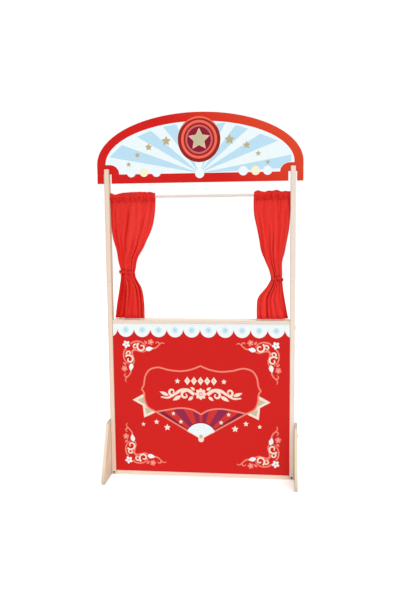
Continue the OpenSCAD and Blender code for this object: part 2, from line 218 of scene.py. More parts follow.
def finishWood(tree, shader, colour, fibres, edgeRadius):
    # colour, low uneven gloss, fine relief and rounded edges
    smoothest, roughest = wood["roughness"]
    gloss = addNode(tree, "MapRange", {"Value": fibres, "To Min": smoothest, "To Max": roughest})
    edge = addNode(tree, "Bevel", {"Radius": edgeRadius * mm}, samples=4)
    relief = addNode(tree, "Bump", {"Strength": 0.25, "Distance": wood["fibreRelief"] * mm,
                                    "Height": fibres, "Normal": edge})
    setInputs(shader, {"Base Color": colour, "Roughness": gloss, "Normal": relief})


def pine(name, along, light, line, side, sideAxis):
    # Planed pine under clear satin varnish: soft growth lines along the piece, fine fibres, even low gloss.
    # side is the tone that the two faces across sideAxis, and the rounded edges leaning to them, are painted
    # in: painted shade where it is darker than the face, painted light where it is lighter.
    material, tree, shader = newMaterial(name, {"Specular IOR Level": 0.3})
    place, fibres = fibresAlong(tree, along)
    ringWidth = wood["ringSpacing"] / wood["waveSpan"]
    scale = grainScale(along, ringWidth, ringWidth * wood["ringStretch"])
    scaled = addNode(tree, "Mapping", {"Vector": place, "Scale": scale})
    rings = addNode(tree, "TexWave", {
        "Vector": scaled, "Scale": 1.0, "Distortion": 5.0, "Detail": 3.0, "Detail Scale": 0.7},
        wave_type="BANDS", bands_direction="DIAGONAL", wave_profile="SAW", out="Fac")
    patches = addNode(tree, "TexNoise", {"Vector": place, "Scale": 9.0, "Detail": 2.0})
    shade = 0.0
    for pattern, weight in ((rings, 0.45), (fibres, 0.4), (patches, 0.35)):
        shade = addNode(tree, "Math", {0: pattern, 1: weight, 2: shade}, operation="MULTIPLY_ADD")
    share = addNode(tree, "MapRange", {"Value": shade, "From Min": 0.3, "From Max": 1.1})
    colour, paintedSideTone = (addNode(tree, "Mix", {0: share, 6: early, 7: late}, **colourMix)
                     for early, late in ((light, line), side))
    # painted light and shade: the faces across sideAxis and their rounded edges take the side tone
    paintedSideShare = addNode(tree, "TexCoord", {}, out="Normal")
    paintedSideShare = addNode(tree, "SeparateXYZ", {0: paintedSideShare}, out=sideAxis)
    paintedSideShare = addNode(tree, "Math", {0: paintedSideShare}, operation="ABSOLUTE")
    paintedSideShare = addNode(tree, "MapRange", {"Value": paintedSideShare, "From Min": 0.05, "From Max": 0.7})
    colour = addNode(tree, "Mix", {0: paintedSideShare, 6: colour, 7: paintedSideTone}, **colourMix)
    finishWood(tree, shader, colour, fibres, wood["pineEdge"])
    return material


def birchPly(name, along, across, start, thickness, light, line, core, front=None, floorShaded=False):
    # Birch plywood: broad soft grain on the face veneer, and plies in two tones along the edges.
    # across is the axis of its thickness, and start is the distance from the middle at which that begins.
    # core is the tone of every second ply. front is the pair of lacquer colours of a side toward the audience
    # that is printed; the shift from the first at lower left to the second at upper right is painted light.
    # For boards that stand on the floor, the last argument adds painted shade low down, darkest at the floor.
    material, tree, shader = newMaterial(name, {"Specular IOR Level": 0.2})
    place, fibres = fibresAlong(tree, along)
    scale = grainScale(along, wood["figureWidth"], wood["figureLength"])
    scaled = addNode(tree, "Mapping", {"Vector": place, "Scale": scale})
    figure = addNode(tree, "TexNoise", {
        "Vector": scaled, "Scale": 1.0, "Detail": 2.0, "Roughness": 0.35, "Distortion": 0.6}, out="Fac")
    # growth lines follow the figure as height lines follow a hill
    lines = addNode(tree, "Math", {0: figure, 1: 2.5 * wood["figureLines"]}, operation="MULTIPLY")
    lines = addNode(tree, "Math", {0: fibres, 1: 0.5, 2: lines}, operation="MULTIPLY_ADD")
    for operation, value in (("PINGPONG", 1.0), ("POWER", 1.6)):
        lines = addNode(tree, "Math", {0: lines, 1: value}, operation=operation)
    parts = addNode(tree, "SeparateXYZ", {0: place}, out=None).outputs
    ply = parts[across]
    if across == 0:
        ply = addNode(tree, "Math", {0: ply}, operation="ABSOLUTE")
    plySpan = thickness / wood["plies"] * mm
    for operation, value in (("ADD", -start * mm), ("DIVIDE", 2 * plySpan), ("FRACT", 0),
                             ("GREATER_THAN", 0.5)):
        ply = addNode(tree, "Math", {0: ply, 1: value}, operation=operation)
    # the face veneer, and the plies along the edges
    layers = []
    for pattern, weight, fibreWeight, late in ((lines, 0.55, 0.45, line), (ply, 0.55, 0.6, core)):
        shade = addNode(tree, "Math", {0: pattern, 1: weight}, operation="MULTIPLY")
        shade = addNode(tree, "Math", {0: fibres, 1: fibreWeight, 2: shade}, operation="MULTIPLY_ADD")
        layers.append(addNode(tree, "Mix", {0: shade, 6: light, 7: late}, **colourMix))
    veneer, plies = layers
    normal = addNode(tree, "TexCoord", {}, out="Normal")
    normal = addNode(tree, "SeparateXYZ", {0: normal}, out=None).outputs
    # faces across the ends of the grain are darker
    ends = addNode(tree, "Math", {0: normal[along]}, operation="ABSOLUTE")
    ends = addNode(tree, "MapRange", {"Value": ends, "From Min": 0.6, "From Max": 0.95})
    flat = addNode(tree, "Math", {0: normal[across]}, operation="ABSOLUTE")
    flat = addNode(tree, "Math", {0: flat, 1: 0.7}, operation="GREATER_THAN")
    over = [(ends, wood["endTone"]), (flat, veneer)]
    # painted light on the printed side: its red shifts from the first colour at lower left to the second at
    # upper right
    if front:
        printed = addNode(tree, "Math", {0: normal[across], 1: -0.7}, operation="LESS_THAN")
        slant = addNode(tree, "Math", {0: parts[0], 1: parts[2]}, operation="ADD")
        share = addNode(tree, "MapRange", {"Value": slant, "From Min": wood["paintedLightFrom"] * mm,
                                           "From Max": wood["paintedLightTo"] * mm})
        over.append((printed, addNode(tree, "Mix", {0: share, 6: front[0], 7: front[1]}, **colourMix)))
    if floorShaded:
        # painted shade low on a board that stands on the floor, darkest at the floor
        height = addNode(tree, "Math", {0: fibres, 1: -0.02, 2: parts[2]}, operation="MULTIPLY_ADD")
        share = addNode(tree, "MapRange", {"Value": height, "From Max": wood["floorShadeHeight"] * mm,
                                           "To Min": wood["floorShade"], "To Max": 0.0})
        over.append((share, wood["floorShadeTone"]))
    colour = plies
    for share, tone in over:
        colour = addNode(tree, "Mix", {0: share, 6: colour, 7: tone}, **colourMix)
    finishWood(tree, shader, colour, fibres, wood["plyEdge"])
    return material


def zincPlate(name, colour, roughness):
    # Zinc-plated steel: a dull grey metal with faint cloudy patches
    material, tree, shader = newMaterial(name, {"Base Color": colour, "Metallic": 1.0})
    place = addNode(tree, "TexCoord", {}, out="Object")
    clouds = addNode(tree, "TexNoise", {"Vector": place, "Scale": 600.0, "Detail": 2.0})
    setInputs(shader, {"Roughness": addNode(tree, "MapRange", {
        "Value": clouds, "To Min": roughness - 0.08, "To Max": roughness + 0.1})})
    return material


boardRed = ("#c70f08", "#c70f08")
# the header's red turns lighter and warmer towards its upper right as painted light; the panel's red is even
paintedLightHeaderRed = ("#ca0f08", "#d5401e")
panelLow, panelHigh = boxOf("front_panel")
headerLow, headerHigh = boxOf("header_board")
footLow, footHigh = boxOf("foot_right")

# One pine in several tones: the left uprights a darker, pinker copy than the right ones, as painted shade;
# the uprights' side faces and rounded edges take a darker tone, as painted shade, and the tops and bottoms of
# the level pieces a lighter one, as painted light.
leftPine = pine("varnished pine, left uprights", 2, "#ead5c6", "#d6b99e", ("#d3bda8", "#d6b99e"), 0)
rightPine = pine("varnished pine, right uprights", 2, "#e8ddd2", "#d8c3b0", ("#e4dbd0", "#d8c3b0"), 0)
crossPine = pine("varnished pine, level grain", 0, "#ebd8ca", "#d9bda5", ("#fbf0e2", "#efdcc8"), 2)
rodPine = pine("planed pine dowel", 0, "#e6dad2", "#cab7a8", ("#e6dad2", "#cab7a8"), 2)
footPly = birchPly("birch plywood foot", 2, 0, footLow[0], footHigh[0] - footLow[0],
                   "#eae0ca", "#dbcba9", "#d6c4a6", floorShaded=True)
headerPly, panelPly = (birchPly(f"birch plywood {board}, red lacquer front", 0, 1, low[1], high[1] - low[1],
                                "#eeddc6", "#dac09a", "#a9875f", reds)
                       for board, low, high, reds in (("header", headerLow, headerHigh, paintedLightHeaderRed),
                                                      ("panel", panelLow, panelHigh, boardRed)))
zinc = zincPlate("zinc-plated steel", "#b9bcc0", 0.36)
darkZinc = zincPlate("darkened zinc-plated steel", "#6d6258", 0.45)
brass = zincPlate("turned brass", "#c9a45c", 0.3)

nodeFinish = {
    "lower_post_left": leftPine, "upper_post_left": leftPine,
    "lower_post_right": rightPine, "upper_post_right": rightPine,
    "post_dowels": rodPine, "curtain_rod": rodPine, "shelf_rail": crossPine,
    "bottom_rail": crossPine, "stage_shelf": crossPine,
    "foot_left": footPly, "foot_right": footPly,
    "header_board": headerPly, "front_panel": panelPly,
    "rail_screws": darkZinc, "shelf_screws": zinc, "rail_bolts": zinc, "barrel_nuts": zinc,
    "foot_bolts": zinc, "foot_inserts": brass,
}
for node, material in nodeFinish.items():
    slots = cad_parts[node].data.materials
    slots.clear()
    slots.append(material)
print("wood and metal finished")


# Printed fronts: thin layers of ink, each shape on a level of its own

inkColours = {
    "ice": "#e8f3f6", "white": "#e8f1f1", "pale blue": "#b7dbed", "mid blue": "#97c4d8", "sky": "#d9ebf1",
    "powder blue": "#c0dde6",
    "bright red": "#cd2a27", "brick": "#92190f", "burgundy": "#82102b", "plum": "#8c1c46",
    "coral": "#ec8270", "bright coral": "#f06552", "pink": "#d65f63", "rose": "#f3b3a4", "cream": "#f2dccb",
    "tan": "#b9ab84", "sage": "#bfbb96", "lemon": "#f2edc9",
}
inkLevel = 0.05     # a screen-printed layer is about 0.03 thick
inkRoughness = (0.42, 0.56)


def ink(name, colour):
    # Screen-printed ink on lacquer: an even colour with a faint mottle and the low gloss of a satin top coat
    material, tree, shader = newMaterial(name + " ink", {"Specular IOR Level": 0.2})
    place = addNode(tree, "TexCoord", {}, out="Object")
    mottle = addNode(tree, "TexNoise", {"Vector": place, "Scale": 160.0, "Detail": 3.0})
    dimmed = tuple(0.9 * part for part in linear(colour)[:3]) + (1.0,)
    gloss = addNode(tree, "MapRange", {"Value": mottle,
                                       "To Min": inkRoughness[0], "To Max": inkRoughness[1]})
    tint = addNode(tree, "Mix", {0: mottle, 6: colour, 7: dimmed}, **colourMix)
    setInputs(shader, {"Base Color": tint, "Roughness": gloss})
    return material


inks = {name: ink(name, colour) for name, colour in inkColours.items()}
inkNames = list(inks)


def fan(outline, centre, closed=True):
    # triangles from a centre point to an outline, which closes on itself or ends at its last point
    n = len(outline)
    i = np.arange(n if closed else n - 1)
    return np.vstack([outline, [centre]]), np.stack([i, (i + 1) % n, np.full(len(i), n)], 1)


def strip(one, other):
    # quads between two lines with the same number of points
    n = len(one)
    i = np.arange(n - 1)
    return np.vstack([one, other]), np.stack([i, i + 1, n + i + 1, n + i], 1)


def around(centre, radius, degrees):
    # points about a centre, at the radius and angle of each
    a = np.radians(degrees)
    return grid(centre[0] + radius * np.cos(a), centre[1] + radius * np.sin(a))


def circle(centre, radius, first=0, last=360, steps=72):
    return around(centre, radius, np.linspace(first, last, steps + 1))


def spiral(centre, outer, inner, first, last, count=48):
    return around(centre, np.linspace(outer, inner, count), np.linspace(first, last, count))


def disc(centre, radius):
    return fan(circle(centre, radius)[:-1], centre)


def star(centre, radius, notch=0.5):
    # five-pointed outline, with the radius at its notches as a share of the radius at its tips
    k = np.arange(10)
    return fan(around(centre, radius * np.where(k % 2 == 0, 1, notch), 90 + k * 36), centre)


def flower(centre, radius, petals, depth=0.34, turn=0):
    # outline whose radius swells and shrinks once for each petal
    a = np.linspace(0, 360, 24 * petals, endpoint=False)
    swell = np.abs(np.cos(np.radians(petals / 2 * (a - turn))))
    return fan(around(centre, radius * (1 - depth + depth * swell), a), centre)


def curve(points, count=60):
    # smooth line through the points, by distance along them
    points = np.asarray(points, float)
    along = np.r_[0, np.cumsum(np.linalg.norm(np.diff(points, axis=0), axis=1))]
    at = np.linspace(0, along[-1], count)
    return grid(*(hermite(along, part, at) for part in points.T))


def stroke(line, width):
    # band along a line, with a width that may change along it
    ahead = np.gradient(line, axis=0)
    ahead /= np.linalg.norm(ahead, axis=1)[:, None]
    aside = ahead[:, ::-1] * (-1, 1) * np.reshape(width, (-1, 1)) / 2
    return strip(line + aside, line - aside)


def taper(count, wide, thin=0.25):
    # width of a brush stroke: full at the start, thin at its end
    return wide * (thin + (1 - thin) * np.cos(np.linspace(0, math.pi / 2, count)))


def printPiece(name, body, front, shapes):
    # shapes: ink, level and (points, faces) of each, laid in front of the board at their level
    points, faces, colours, n = [], [], [], 0
    for colour, level, (flat, corners) in shapes:
        a, b, c = (flat[corners[:, k]] for k in range(3))
        turn = (b[:, 0] - a[:, 0]) * (c[:, 1] - a[:, 1]) - (b[:, 1] - a[:, 1]) * (c[:, 0] - a[:, 0])
        corners = np.where(turn[:, None] < 0, corners[:, ::-1], corners)
        points.append(grid(flat[:, 0], front - level * inkLevel, flat[:, 1]))
        faces += (corners + n).tolist()
        colours += [inkNames.index(colour)] * len(corners)
        n += len(flat)
    piece = meshPiece(name, np.vstack(points), faces, list(inks.values()), colours, smooth=False)
    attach(piece, body)


# Header print: sunburst in a red arch, with a star roundel

headerPrint = {
    "archRise": 159, "archBorder": 28, "sideBorder": 28,
    "bandTop": 1003, "bossReach": 41, "bossRadius": 31.5, "bossRises": (30.5, 28),
    "rayFrom": (3, 1003),
    # the two outer corners of each ray, and those of the last ray, which runs on round the right boss
    "rays": [((-289, 1058), (-247, 1096)), ((-197, 1120.5), (-152, 1138.6)), ((-112, 1150), (-70, 1156)),
             ((60, 1156), (86, 1157)), ((118.6, 1149), (157.3, 1137)), ((195.9, 1120.5), (250.5, 1098))],
    "lastRay": [(292, 1054), (291.5, 1036)], "lastRayGap": 1.5,
    "bulbs": [(-218, 1007.5, "ice", 14.3), (-176.5, 1007.5, "lemon", 13.5), (-136, 1007.5, "ice", 14.3),
              (142, 1007.5, "ice", 14.6), (181, 1007.5, "lemon", 14.2), (218.5, 1007.5, "ice", 14.3),
              (3.5, 1001.5, "ice", 14.5)],
    "stars": [(-103, 1105, 16), (-160, 1087, 12.5), (-197, 1063, 9.5), (-226, 1034, 8.5),
              (99, 1105, 17), (153, 1087, 12.5), (189, 1060.5, 9), (219, 1033, 8)],
    "roundel": (2.5, 1108), "roundelShape": (0.955, 1),
    # outer radius and colour of each ring, from the outside to the disc in the middle
    "rings": [(71, "brick"), (60, "bright coral"), (51.5, "brick"), (45.5, "pink"), (39.5, "burgundy")],
    "rim": (26, 154, 71.5, 0.0845),  # highlight along the top: from and to angle, radius, width as its share
    "starRadius": 36, "innerRadius": 26.64, "innerNotch": 0.635,
}


def headerShapes(p):
    springZ = headerHigh[2] - p["archRise"]
    halfWidth = headerHigh[0] - p["sideBorder"]
    rise = p["archRise"] - p["archBorder"]
    bossX, bandTop, boss = headerHigh[0] - p["bossReach"], p["bandTop"], p["bossRadius"]
    x = halfWidth * np.sin(np.linspace(-math.pi / 2, math.pi / 2, 401))
    upper = springZ + rise * np.sqrt(np.clip(1 - (x / halfWidth) ** 2, 0, None))
    # the red band below swells into a boss around each post
    inBoss = np.sqrt(np.clip(1 - ((np.abs(x) - bossX) / boss) ** 2, 0, None))
    lower = bandTop + np.where(x < 0, *p["bossRises"]) * np.where(np.abs(x) > bossX, 1, inBoss)
    shapes = [("ice", 1, strip(grid(x, upper), grid(x, np.minimum(lower, upper))))]
    shapes += [("pale blue", 2, fan(ray, p["rayFrom"], closed=False)) for ray in p["rays"]]
    bossShape = np.array([boss, p["bossRises"][1]]) + p["lastRayGap"]
    lastRay = np.vstack([p["lastRay"], circle((0, 0), 1, 97, 160, 24) * bossShape + (bossX, bandTop)])
    shapes.append(("pale blue", 2, fan(lastRay, p["rayFrom"], closed=False)))
    # bulbs along the band, half on the white and half on the red
    shapes += [(colour, 4, disc((bulbX, bulbZ), radius)) for bulbX, bulbZ, colour, radius in p["bulbs"]]
    shapes += [("tan", 4, star((starX, starZ), radius)) for starX, starZ, radius in p["stars"]]
    radii = [radius for radius, _ in p["rings"]] + [0]
    for (radius, colour), inner in zip(p["rings"], radii[1:]):
        points, faces = (strip(circle((0, 0), radius), circle((0, 0), inner)) if inner
                         else disc((0, 0), radius))
        shapes.append((colour, 5, (points * p["roundelShape"] + p["roundel"], faces)))
    first, last, radius, width = p["rim"]
    outside = circle((0, 0), radius, first, last)
    inside = outside * (1 - width * np.sin(np.linspace(0, math.pi, len(outside)))[:, None] ** 0.5)
    points, faces = strip(outside, inside)
    shapes.append(("bright coral", 5.5, (points * p["roundelShape"] + p["roundel"], faces)))
    return shapes + [("rose", 6, star(p["roundel"], p["starRadius"])),
                     ("sage", 7, star(p["roundel"], p["innerRadius"], p["innerNotch"]))]


printPiece("header_print", "header", headerLow[1], headerShapes(headerPrint))
print("header print laid")


# Panel print: scalloped valance, corner scrolls, cartouche, fan and ribbon ends

panelPrint = {
    "halfWidth": 290.3, "top": 520,
    "scallops": 10, "scallopPitch": 54.9, "scallopLine": 503, "scallopDepth": 29.5, "firstScallop": -247,
    # flower on each scallop: height and radius of its middle, and ink, radius, petal depth and turn of layers
    "budHeight": 497.5, "budMiddle": 2.2,
    "buds": [("sky", 12.2, 0.25, 22), ("powder blue", 10.2, 0.5, 0)],
    "cornerAt": (246, 251, 198), "cornerFlower": (13, 2.6),
    "outlineWidth": 5.4,
    "topLine": [(0, 379), (24, 369), (62, 361), (104, 364), (146, 372), (171, 363), (184, 344), (189, 318),
                (192, 307), (198, 299)],
    "sideLine": [(198, 299), (191, 288), (188, 262), (179, 239), (150, 221)],
    "bottomLine": [(150, 221), (108, 230), (64, 236), (28, 231), (0, 216)],
    "ribbonEnd": [(189, 283), (229, 261), (195, 242), (191, 201), (147, 222), (177, 236), (187, 260)],
    "ribbonMiddle": (187, 243),
    "ribbonInsets": [[(188, 272), (213, 261), (189, 247)], [(188, 236), (183, 213), (163, 223), (180, 233)]],
    "fanPivot": (0, 133), "fanEdge": (150, 221), "fanInner": 53, "fanReach": 190,
    "fanBorder": 4, "pleats": 11, "ribWidths": (5, 3.4), "hubRadii": (9.5, 6.2),
    # degrees at which each half's blades begin, from the edge inwards
    "fanBlades": [(30.4, "burgundy"), (36, "bright red"), (46, "plum"), (60, "bright red"), (74, "plum"),
                  (86, "bright red")],
    # stars on each side: on the fan, outside it and beside the lozenges
    "stars": [(92, 217, 7.5), (67, 189.5, 8), (113, 169, 12), (149, 187, 9.5), (194, 178, 7.5),
              (77, 327, 9.5)],
    # lozenges: how many on each side of the middle one, distances and half sizes
    "lozenges": 2, "lozengePitch": 22, "lozengeHeight": 328.5, "lozengeSize": (10, 14), "lozengeDot": 2.2,
    "rosette": (0, 285), "rosetteRadii": (19, 6.5, 3.4),
    "flourishShadow": (1.3, -1.5),
}


def mirrored(shape):
    points, faces = shape
    return points * (-1, 1), faces


def bothSides(colour, level, shape):
    return [(colour, level, shape), (colour, level, mirrored(shape))]


def leaf(root, tip, width):
    # pointed oval from root to tip, fullest nearer its root
    t = np.linspace(0, 1, 21)
    return stroke(np.linspace(root, tip, len(t)), width * np.sin(math.pi * t ** 0.8))


def scrollBranch():
    # one branch of a corner ornament, as (distance along the edge, distance inwards) from its flower
    lower = curve([(13, 30), (19, 23), (29, 19), (42, 22), (56, 25), (70, 19)])
    upper = curve([(14, -1), (22, -7), (34, -10), (47, -9), (57, -4), (66, 6)])
    tip = curve([(84, 14), (96, 12), (105, 6), (112, -1), (120, -6), (128, -3)])
    return [
        ("coral", 1, stroke(lower, taper(60, 5.4, 0.6))),
        ("coral", 1.4, stroke(upper, taper(60, 5.4, 0.6))),
        ("coral", 1.8, stroke(tip, taper(60, 5.2, 0.5))),
        ("coral", 2.2, stroke(curve([(111, 0), (108, -7), (101, -8), (98, -3)], 24), taper(24, 5, 0.4))),
        ("coral", 1, leaf((70, -2), (60, -13), 8)),
        ("cream", 2.6, stroke(spiral((51, 9), 16, 3.5, -125, -500, 64), taper(64, 6, 0.6))),
        ("cream", 3, stroke(spiral((30, 8), 9, 2.5, -60, -330), taper(48, 5, 0.6))),
        ("white", 3.4, leaf((64, 17), (90, 12), 15)),
        ("coral", 3.4, flower((82, -8), 10.5, 5)),
        ("rose", 3.8, disc((82, -8), 3)),
    ]


def cornerOrnament(p, sideX, sideZ):
    # a flower in the corner and two branches, one along each edge
    x, z, rise = p["cornerAt"]
    corner = np.array([sideX * x, z + sideZ * rise])
    shapes = []
    for colour, level, (points, faces) in scrollBranch():
        for branch, up in ((points, 0), (points[:, ::-1], 3.2)):
            shapes.append((colour, level + up, (corner - branch * (sideX, sideZ), faces)))
    petals, middle = p["cornerFlower"]
    return shapes + [("white", 7.4, flower(corner, petals, 5, 0.45, 45)),
                     ("coral", 7.8, disc(corner, middle))]


def fanShapes(p):
    # blades run from the inner arc up to the cartouche's lower line, in colours that mirror about the middle
    shapes = []
    bottom = curve(p["bottomLine"])
    pivot = np.array(p["fanPivot"])
    inner = p["fanInner"]
    starts = [angle for angle, _ in p["fanBlades"]]
    reach = np.linspace(inner, p["fanReach"], 700)
    for (first, colour), last in zip(p["fanBlades"], starts[1:] + [90]):
        angles = np.linspace(first, last, 16)
        bladeX, bladeZ = np.moveaxis(around(pivot, reach, angles[:, None]), -1, 0)
        inside = bladeZ < np.interp(bladeX, bottom[::-1, 0], bottom[::-1, 1])
        end = reach[np.argmin(inside, axis=1)]
        shapes += bothSides(colour, 1, strip(around(pivot, end, angles), around(pivot, inner, angles)))
    edge = starts[0] - 3
    border = circle(pivot, inner + 1.6, edge, 180 - edge, 48)
    shapes.append(("burgundy", 2, stroke(border, p["fanBorder"])))
    arc = circle(pivot, inner, edge, 180 - edge, 48)
    shapes.append(("white", 3, fan(arc, pivot, closed=False)))
    for angle in np.linspace(edge, 180 - edge, p["pleats"] + 2)[1:-1]:
        pleat = around(pivot, np.linspace(20, inner - 4, 8), angle)
        shapes.append(("sky", 3.5, stroke(pleat, np.linspace(0.6, 2.2, 8))))
    rib = p["fanEdge"] - pivot
    rib = rib / np.linalg.norm(rib)
    outer, within = p["ribWidths"]
    shapes += bothSides("coral", 4, stroke(np.linspace(pivot + (inner - 2) * rib, p["fanEdge"], 12), outer))
    shapes += bothSides("cream", 4.4, stroke(np.linspace(pivot, pivot + (inner - 1) * rib, 8), within))
    low, high = p["hubRadii"]
    return shapes + [("cream", 5, disc(pivot - (0, 2), low)), ("sage", 5.4, disc(pivot + (0, 8), high))]


def flourish(p):
    # rosette and scrolled stems: each stroke keeps a level of its own, so that none lies in another's plane
    stem = curve([(22, 283), (42, 297), (64, 297), (86, 284), (110, 271), (133, 273)])
    shapes = [(5, flower(p["rosette"], p["rosetteRadii"][0], 8, 0.3))]
    for level, shape in ((5.4, stroke(stem, taper(60, 11, 0.35))),
                         (5.8, stroke(spiral((52, 281), 14, 3.5, 100, -250), taper(48, 8))),
                         (6.2, stroke(spiral((95, 291), 12.5, 3.5, -110, 250), taper(48, 7.5))),
                         (5, leaf((66, 278), (94, 262), 12)), (5, leaf((108, 279), (137, 291), 11)),
                         (5, leaf((26, 276), (42, 263), 10)), (6.6, leaf((20, 298), (34, 308), 9))):
        shapes += [(level, shape), (level, mirrored(shape))]
    return shapes


def panelShapes(p):
    # valance with half an ellipse at its lower edge for each scallop
    x = np.linspace(-p["halfWidth"], p["halfWidth"], 1501)
    pitch = p["scallopPitch"]
    fromMiddle = (x - p["firstScallop"] + pitch / 2) % pitch - pitch / 2
    drop = np.sqrt(np.clip(1 - (2 * fromMiddle / pitch) ** 2, 0, None))
    lower = p["scallopLine"] - p["scallopDepth"] * drop
    shapes = [("white", 1, strip(grid(x, p["top"]), grid(x, lower)))]
    for scallop in range(p["scallops"]):
        middle = (p["firstScallop"] + scallop * pitch, p["budHeight"])
        for level, (colour, radius, depth, turn) in enumerate(p["buds"], 2):
            shapes.append((colour, level, flower(middle, radius, 8, depth, turn)))
        shapes.append(("mid blue", 4, disc(middle, p["budMiddle"])))
    for sideX in (-1, 1):
        for sideZ in (-1, 1):
            shapes += cornerOrnament(p, sideX, sideZ)
    # ribbon ends behind the cartouche
    shapes += bothSides("cream", 1, fan(p["ribbonEnd"], p["ribbonMiddle"]))
    for inset in p["ribbonInsets"]:
        shapes += bothSides("sage", 2, fan(inset, np.mean(inset, axis=0)))
    shapes += fanShapes(p)
    for level, half in ((4.6, curve(p["topLine"])), (5, curve(p["bottomLine"])[::-1])):
        # one line right across, with its point in the middle
        across = np.vstack([half[:0:-1] * (-1, 1), half])
        shapes.append(("coral", level, stroke(across, p["outlineWidth"])))
    shapes += bothSides("coral", 5.4, stroke(curve(p["sideLine"]), p["outlineWidth"]))
    for starX, starZ, radius in p["stars"]:
        shapes += bothSides("cream", 5, star((starX, starZ), radius))
    # ornament in the middle: a row of lozenges above a scrolled flourish with a coral shadow
    for k in range(-p["lozenges"], p["lozenges"] + 1):
        centre = (k * p["lozengePitch"], p["lozengeHeight"])
        outline = centre + np.array([(1, 0), (0, 1), (-1, 0), (0, -1)]) * p["lozengeSize"]
        shapes += [("cream", 5, fan(outline, centre)), ("coral", 6, disc(centre, p["lozengeDot"]))]
    for level, (points, faces) in flourish(p):
        shapes.append(("coral", level - 4, (points + p["flourishShadow"], faces)))
        shapes.append(("cream", level, (points, faces)))
    _, middle, core = p["rosetteRadii"]
    return shapes + [("coral", 7, disc(p["rosette"], middle)), ("cream", 7.4, disc(p["rosette"], core))]


printPiece("panel_print", "frame", panelLow[1], panelShapes(panelPrint))
print("panel print laid")


# Cloth

cloth = {
    "threadSpacing": 0.9,   # real threads are about 0.4 apart, and this is as coarse as they need to show
    "thickness": 0.5,
    "stitch": 3.2, "stitchWidth": 0.9,  # length from one stitch to the next, and thickness of its thread
    "weaveRelief": 0.25,
    "red": "#ea3c34", "stitchRed": "#c42a22", "sheenRed": "#ff6a58",
    "paintedShadeTint": (0.85, 0.3, 0.3, 1.0),  # share of each colour left where the painted shade is deepest
}


def redCotton(name, seams):
    # Dyed plain-weave cotton: a soft matt red with a fine weave, sheen on the folds and lines of stitches.
    # Light passes through the thin cloth, which softens its folds. seams are distances along the cloth.
    material, tree, shader = newMaterial(name, {
        "Roughness": 0.85, "Specular IOR Level": 0.12, "Sheen Weight": 0.1, "Sheen Roughness": 0.45,
        "Sheen Tint": cloth["sheenRed"], "Subsurface Weight": 0.35,
        "Subsurface Radius": (1.0, 0.2, 0.16), "Subsurface Scale": 1.2 * mm})
    flat = addNode(tree, "UVMap", {}, uv_map="flatCloth")
    scale = wood["waveSpan"] / (cloth["threadSpacing"] * mm) / 2
    weave = 1.0
    for direction in ("X", "Y"):
        threads = addNode(tree, "TexWave", {"Vector": flat, "Scale": scale, "Distortion": 0.4},
                          wave_type="BANDS", bands_direction=direction, out="Fac")
        weave = addNode(tree, "Math", {0: threads, 1: weave}, operation="MULTIPLY")
    slub = addNode(tree, "TexNoise", {"Vector": flat, "Scale": 70.0, "Detail": 4.0})
    parts = addNode(tree, "SeparateXYZ", {0: flat}, out=None).outputs
    dashes = parts[0]
    for operation, value in (("DIVIDE", cloth["stitch"] * mm), ("FRACT", 0), ("LESS_THAN", 0.7)):
        dashes = addNode(tree, "Math", {0: dashes, 1: value}, operation=operation)
    stitches = 0.0
    for seam in seams:
        line = addNode(tree, "Math", {0: parts[1], 1: seam * mm, 2: cloth["stitchWidth"] / 2 * mm},
                       operation="COMPARE")
        stitches = addNode(tree, "Math", {0: line, 1: stitches}, operation="MAXIMUM")
    stitches = addNode(tree, "Math", {0: stitches, 1: dashes}, operation="MULTIPLY")
    dark = tuple(0.84 * part for part in linear(cloth["red"])[:3]) + (1.0,)
    shade = addNode(tree, "Math", {0: weave, 1: 0.35}, operation="MULTIPLY")
    shade = addNode(tree, "Math", {0: slub, 1: 0.5, 2: shade}, operation="MULTIPLY_ADD")
    tint = addNode(tree, "Mix", {0: shade, 6: dark, 7: cloth["red"]}, **colourMix)
    # painted shade: the red is deeper in hollows, double layers and listed spots, and lighter in spots of
    # painted light
    deep = addNode(tree, "Attribute", {}, attribute_name="deep", out="Fac")
    tint = addNode(tree, "Mix", {0: deep, 6: tint, 7: cloth["paintedShadeTint"]}, blend_type="MULTIPLY", **colourMix)
    tint = addNode(tree, "Mix", {0: stitches, 6: tint, 7: cloth["stitchRed"]}, **colourMix)
    height = addNode(tree, "Math", {0: stitches, 1: -1.5, 2: weave}, operation="MULTIPLY_ADD")
    relief = addNode(tree, "Bump", {"Strength": 0.35, "Distance": cloth["weaveRelief"] * mm,
                                    "Height": height})
    setInputs(shader, {"Base Color": tint, "Normal": relief})
    return material


rodZ = np.mean(boxOf("curtain_rod"), axis=0)[2]

